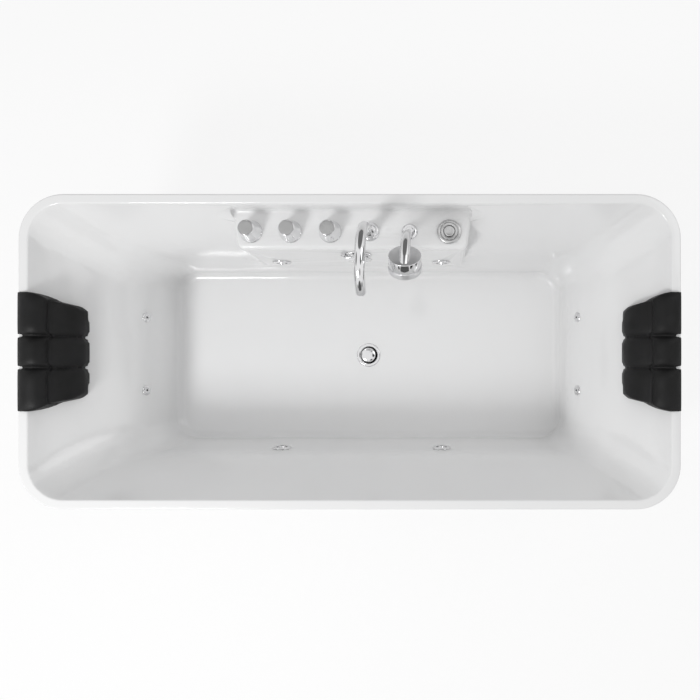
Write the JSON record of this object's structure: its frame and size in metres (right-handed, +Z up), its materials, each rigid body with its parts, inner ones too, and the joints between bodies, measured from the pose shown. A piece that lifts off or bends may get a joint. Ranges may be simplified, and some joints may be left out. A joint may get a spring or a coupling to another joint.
{
  "type": "jetted bathtub",
  "caption": "Rectangular jetted bathtub with a tap deck, hand shower, arched spout, wall jets, black headrests, skirt and a pump under the tub.",
  "frame": {"origin": "floor level under the middle of the tub", "axes": "+X along the tub towards the pump end, +Y towards the tap deck, +Z up"},
  "size_m": [1.7, 0.81, 0.7301],
  "materials": {
    "acrylic": "white gloss sanitary acrylic",
    "chrome": "polished chrome on brass",
    "satin_chrome": "satin chrome",
    "headrest": "matte black self-skinned foam",
    "galvanised": "galvanised steel",
    "board": "raw particle board",
    "pipe": "white pipe plastic",
    "fitting": "white moulded plastic",
    "dark_plastic": "black moulded plastic",
    "brass": "bare brass",
    "seal": "black rubber",
    "motor": "cast aluminium",
    "steel": "bright steel"
  },
  "bodies": {
    "tub": {"basin_shell": "acrylic", "apron_skirt": "acrylic", "panel_catches": "dark_plastic", "floor_board": "board", "base_frame": "galvanised", "foot_pads": "seal", "foot_screws": "steel", "foot_nuts": "steel", "apron_brackets": "galvanised", "escutcheons": "chrome", "valve_bodies": "brass", "deck_nuts": "fitting", "mixer_pipes": "brass", "spout_base": "chrome", "shower_socket": "chrome", "control_body": "satin_chrome", "drain_flange": "chrome", "drain_gasket": "seal", "waste_body": "fitting", "overflow_bezel": "chrome", "overflow_body": "fitting", "waste_nuts": "fitting", "overflow_pipe": "pipe", "suction_cover": "chrome", "suction_body": "fitting", "jet_trims": "chrome", "jet_bodies": "fitting", "jet_nuts": "fitting", "end_jet_faces": "chrome", "end_jet_bodies": "fitting", "water_manifold": "pipe", "air_manifold": "pipe", "pump_volute": "dark_plastic", "motor_housing": "motor", "motor_cap": "dark_plastic", "pump_bearer": "galvanised", "pump_unions": "fitting", "suction_pipe": "pipe", "control_box": "fitting"},
    "access_panel": {"access_panel": "acrylic"},
    "hot_tap": {"hot_knob": "chrome"},
    "cold_tap": {"cold_knob": "chrome"},
    "diverter_tap": {"diverter_knob": "chrome"},
    "spout": {"spout": "chrome", "aerator": "fitting"},
    "hand_shower": {"hand_shower": "chrome", "shower_face": "seal"},
    "air_ring": {"air_ring": "satin_chrome"},
    "air_button": {"air_button": "satin_chrome"},
    "plug": {"plug": "chrome"},
    "overflow_knob": {"overflow_knob": "chrome"},
    "nozzle_front_left": {"nozzle_front_left": "chrome"},
    "nozzle_back_left": {"nozzle_back_left": "chrome"},
    "nozzle_front_right": {"nozzle_front_right": "chrome"},
    "nozzle_back_right": {"nozzle_back_right": "chrome"},
    "pump_rotor": {"pump_impeller": "dark_plastic", "pump_shaft": "steel", "motor_fan": "dark_plastic"},
    "headrest_left": {"headrest_left": "headrest"},
    "headrest_right": {"headrest_right": "headrest"}
  },
  "joints": [
    {"name": "hot_turn", "type": "hinge", "parent": "tub", "child": "hot_tap", "pos_m": [-0.267, 0.318, 0.53], "axis": [0, 0, 1], "range_deg": [0, 90]},
    {"name": "cold_turn", "type": "hinge", "parent": "tub", "child": "cold_tap", "pos_m": [-0.1624, 0.318, 0.53], "axis": [0, 0, 1], "range_deg": [-90, 0]},
    {"name": "diverter_turn", "type": "hinge", "parent": "tub", "child": "diverter_tap", "pos_m": [-0.0578, 0.318, 0.53], "axis": [0, 0, 1], "range_deg": [0, 90]},
    {"name": "spout_swivel", "type": "hinge", "parent": "tub", "child": "spout", "pos_m": [0.0468, 0.318, 0.53], "axis": [0, 0, 1], "range_deg": [-60, 15]},
    {"name": "shower_lift", "type": "slide", "parent": "tub", "child": "hand_shower", "axis": [-0.0117, -0.2921, 0.9563], "range_m": [0, 0.2]},
    {"name": "air_ring_turn", "type": "hinge", "parent": "tub", "child": "air_ring", "pos_m": [0.256, 0.318, 0.53], "axis": [0, 0, 1], "range_deg": [0, 120]},
    {"name": "air_button_press", "type": "slide", "parent": "tub", "child": "air_button", "axis": [0, 0, -1], "range_m": [0, 0.003], "stiffness_N_per_m": 300, "springref_m": -0.002},
    {"name": "overflow_turn", "type": "hinge", "parent": "tub", "child": "overflow_knob", "pos_m": [0, 0.272, 0.46], "axis": [0, -1, 0], "range_deg": [0, 90]},
    {"name": "plug_lift", "type": "slide", "parent": "tub", "child": "plug", "axis": [0, 0, 1], "range_m": [-0.008, 0]},
    {"name": "nozzle_front_left_aim", "type": "hinge", "parent": "tub", "child": "nozzle_front_left", "pos_m": [-0.236, -0.2849, 0.32873], "axis": [0, -0.0978, 0.9952], "range_deg": [-15, 15]},
    {"name": "nozzle_back_left_aim", "type": "hinge", "parent": "tub", "child": "nozzle_back_left", "pos_m": [-0.236, 0.278, 0.33], "axis": [0, 0, 1], "range_deg": [-15, 15]},
    {"name": "nozzle_front_right_aim", "type": "hinge", "parent": "tub", "child": "nozzle_front_right", "pos_m": [0.236, -0.2849, 0.32873], "axis": [0, -0.0978, 0.9952], "range_deg": [-15, 15]},
    {"name": "nozzle_back_right_aim", "type": "hinge", "parent": "tub", "child": "nozzle_back_right", "pos_m": [0.236, 0.278, 0.33], "axis": [0, 0, 1], "range_deg": [-15, 15]},
    {"name": "pump_spin", "type": "hinge", "parent": "tub", "child": "pump_rotor", "pos_m": [0.70321, 0.118, 0.15], "axis": [0, 1, 0], "continuous": true},
    {"name": "headrest_left_lift", "type": "slide", "parent": "tub", "child": "headrest_left", "axis": [0, 0, 1], "range_m": [0, 0.12]},
    {"name": "headrest_right_lift", "type": "slide", "parent": "tub", "child": "headrest_right", "axis": [0, 0, 1], "range_m": [0, 0.12]},
    {"name": "access_panel_pull", "type": "slide", "parent": "tub", "child": "access_panel", "axis": [1, 0, 0], "range_m": [0, 0.1]}
  ],
  "couplings": [
    {"joint": "plug_lift", "follows": "overflow_turn", "m_per_rad": -0.0050929}
  ]
}
